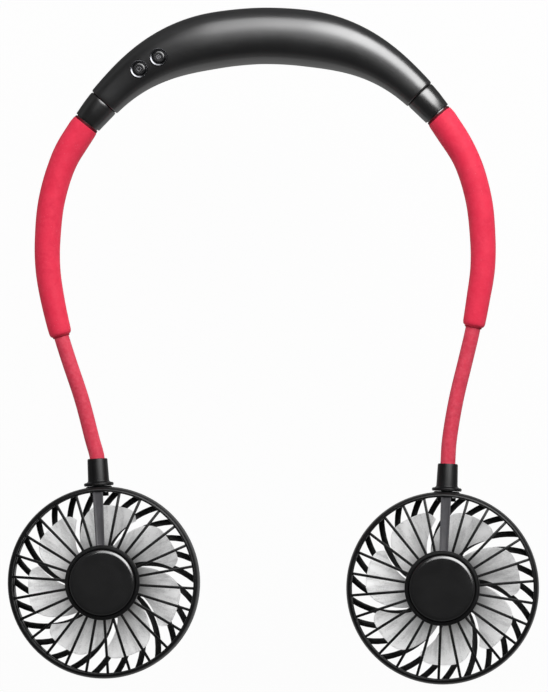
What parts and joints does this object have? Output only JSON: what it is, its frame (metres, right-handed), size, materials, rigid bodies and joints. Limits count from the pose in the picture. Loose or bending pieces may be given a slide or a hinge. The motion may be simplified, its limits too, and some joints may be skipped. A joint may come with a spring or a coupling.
{
  "type": "neck fan",
  "caption": "Hands-free fan worn round the neck: a rigid curved band with battery and buttons, and at each end a bendable sleeved arm with a caged round fan.",
  "frame": {"origin": "middle of the object's bounding box, on the surface that it lies on", "axes": "+Y from the two fans towards the band, +Z away from the surface that it lies on and towards the camera, +X to the right as the camera sees it"},
  "size_m": [0.2265, 0.2889, 0.026],
  "materials": {
    "black_shell": "satin black moulded ABS",
    "black_grille": "satin black moulded ABS",
    "hub_cap": "satin black, polished edge",
    "red_sleeve": "matt coral-red silicone",
    "pale_blade": "pale grey-white moulded plastic",
    "button": "satin black",
    "bezel": "bright plated",
    "steel": "plain",
    "gooseneck": "wound steel tube",
    "circuit_board": "green solder mask",
    "cell_wrap": "shrink-wrapped blue",
    "cable": "black insulation",
    "motor_plastic": "ivory nylon"
  },
  "bodies": {
    "band": {"front_shell": "black_shell", "back_shell": "black_shell", "left_arm_collar": "black_shell", "right_arm_collar": "black_shell", "lithium_cell": "cell_wrap", "battery_leads": "cable", "control_board": "circuit_board", "charging_socket": "steel", "power_button_bezel": "bezel", "speed_button_bezel": "bezel", "power_switch": "steel", "speed_switch": "steel", "shell_screw_1": "steel", "shell_screw_2": "steel", "shell_screw_3": "steel", "shell_screw_4": "steel"},
    "power_button": {"power_button": "button"},
    "speed_button": {"speed_button": "button"},
    "left_upper_arm": {"left_thick_sleeve": "red_sleeve", "left_gooseneck": "gooseneck", "left_arm_cable": "cable"},
    "left_lower_arm": {"left_thin_sleeve": "red_sleeve"},
    "left_neck": {"left_neck_collar": "black_shell"},
    "left_head": {"left_swivel_pin": "black_grille", "left_intake_grille": "black_grille", "left_outlet_grille": "black_grille", "left_hub_cap": "hub_cap", "left_motor_can": "steel", "left_motor_end_cap": "motor_plastic", "left_motor_screw_1": "steel", "left_motor_screw_2": "steel", "left_motor_leads": "cable"},
    "left_rotor": {"left_motor_shaft": "steel", "left_impeller": "pale_blade"},
    "right_upper_arm": {"right_thick_sleeve": "red_sleeve", "right_gooseneck": "gooseneck", "right_arm_cable": "cable"},
    "right_lower_arm": {"right_thin_sleeve": "red_sleeve"},
    "right_neck": {"right_neck_collar": "black_shell"},
    "right_head": {"right_swivel_pin": "black_grille", "right_intake_grille": "black_grille", "right_outlet_grille": "black_grille", "right_hub_cap": "hub_cap", "right_motor_can": "steel", "right_motor_end_cap": "motor_plastic", "right_motor_screw_1": "steel", "right_motor_screw_2": "steel", "right_motor_leads": "cable"},
    "right_rotor": {"right_motor_shaft": "steel", "right_impeller": "pale_blade"}
  },
  "joints": [
    {"name": "power_button_press", "type": "slide", "parent": "band", "child": "power_button", "axis": [0, 0, -1], "range_m": [0, 0.0005], "stiffness_N_per_m": 400},
    {"name": "speed_button_press", "type": "slide", "parent": "band", "child": "speed_button", "axis": [0, 0, -1], "range_m": [0, 0.0005], "stiffness_N_per_m": 400},
    {"name": "left_arm_spread", "type": "hinge", "parent": "band", "child": "left_upper_arm", "pos_m": [-0.07989, 0.09542, 0.012], "axis": [0, 0, -1], "range_deg": [-4, 35], "deforming": ["left_thick_sleeve", "left_gooseneck", "left_arm_cable"]},
    {"name": "left_elbow_bend", "type": "hinge", "parent": "left_upper_arm", "child": "left_lower_arm", "pos_m": [-0.09094, 0.0043, 0.012], "axis": [0, 0, -1], "range_deg": [-8, 45], "deforming": ["left_thin_sleeve", "left_gooseneck", "left_arm_cable"]},
    {"name": "left_neck_tilt", "type": "hinge", "parent": "left_lower_arm", "child": "left_neck", "pos_m": [-0.07841, -0.03669, 0.012], "axis": [-0.9983, -0.0576, 0], "range_deg": [-75, 75], "deforming": ["left_thin_sleeve", "left_gooseneck", "left_arm_cable"]},
    {"name": "left_head_swivel", "type": "hinge", "parent": "left_neck", "child": "left_head", "pos_m": [-0.0723, -0.1012, 0.012], "axis": [-0.0576, 0.9983, 0], "range_deg": [-90, 90]},
    {"name": "left_fan_spin", "type": "hinge", "parent": "left_head", "child": "left_rotor", "pos_m": [-0.0723, -0.1012, 0.012], "axis": [0, 0, 1], "continuous": true},
    {"name": "right_arm_spread", "type": "hinge", "parent": "band", "child": "right_upper_arm", "pos_m": [0.07031, 0.09856, 0.012], "axis": [0, 0, 1], "range_deg": [-4, 35], "deforming": ["right_thick_sleeve", "right_gooseneck", "right_arm_cable"]},
    {"name": "right_elbow_bend", "type": "hinge", "parent": "right_upper_arm", "child": "right_lower_arm", "pos_m": [0.08543, 0.00793, 0.012], "axis": [0, 0, 1], "range_deg": [-8, 45], "deforming": ["right_thin_sleeve", "right_gooseneck", "right_arm_cable"]},
    {"name": "right_neck_tilt", "type": "hinge", "parent": "right_lower_arm", "child": "right_neck", "pos_m": [0.07542, -0.03859, 0.012], "axis": [-0.9991, 0.0419, 0], "range_deg": [-75, 75], "deforming": ["right_thin_sleeve", "right_gooseneck", "right_arm_cable"]},
    {"name": "right_head_swivel", "type": "hinge", "parent": "right_neck", "child": "right_head", "pos_m": [0.0723, -0.1035, 0.012], "axis": [0.0419, 0.9991, 0], "range_deg": [-90, 90]},
    {"name": "right_fan_spin", "type": "hinge", "parent": "right_head", "child": "right_rotor", "pos_m": [0.0723, -0.1035, 0.012], "axis": [0, 0, 1], "continuous": true}
  ]
}
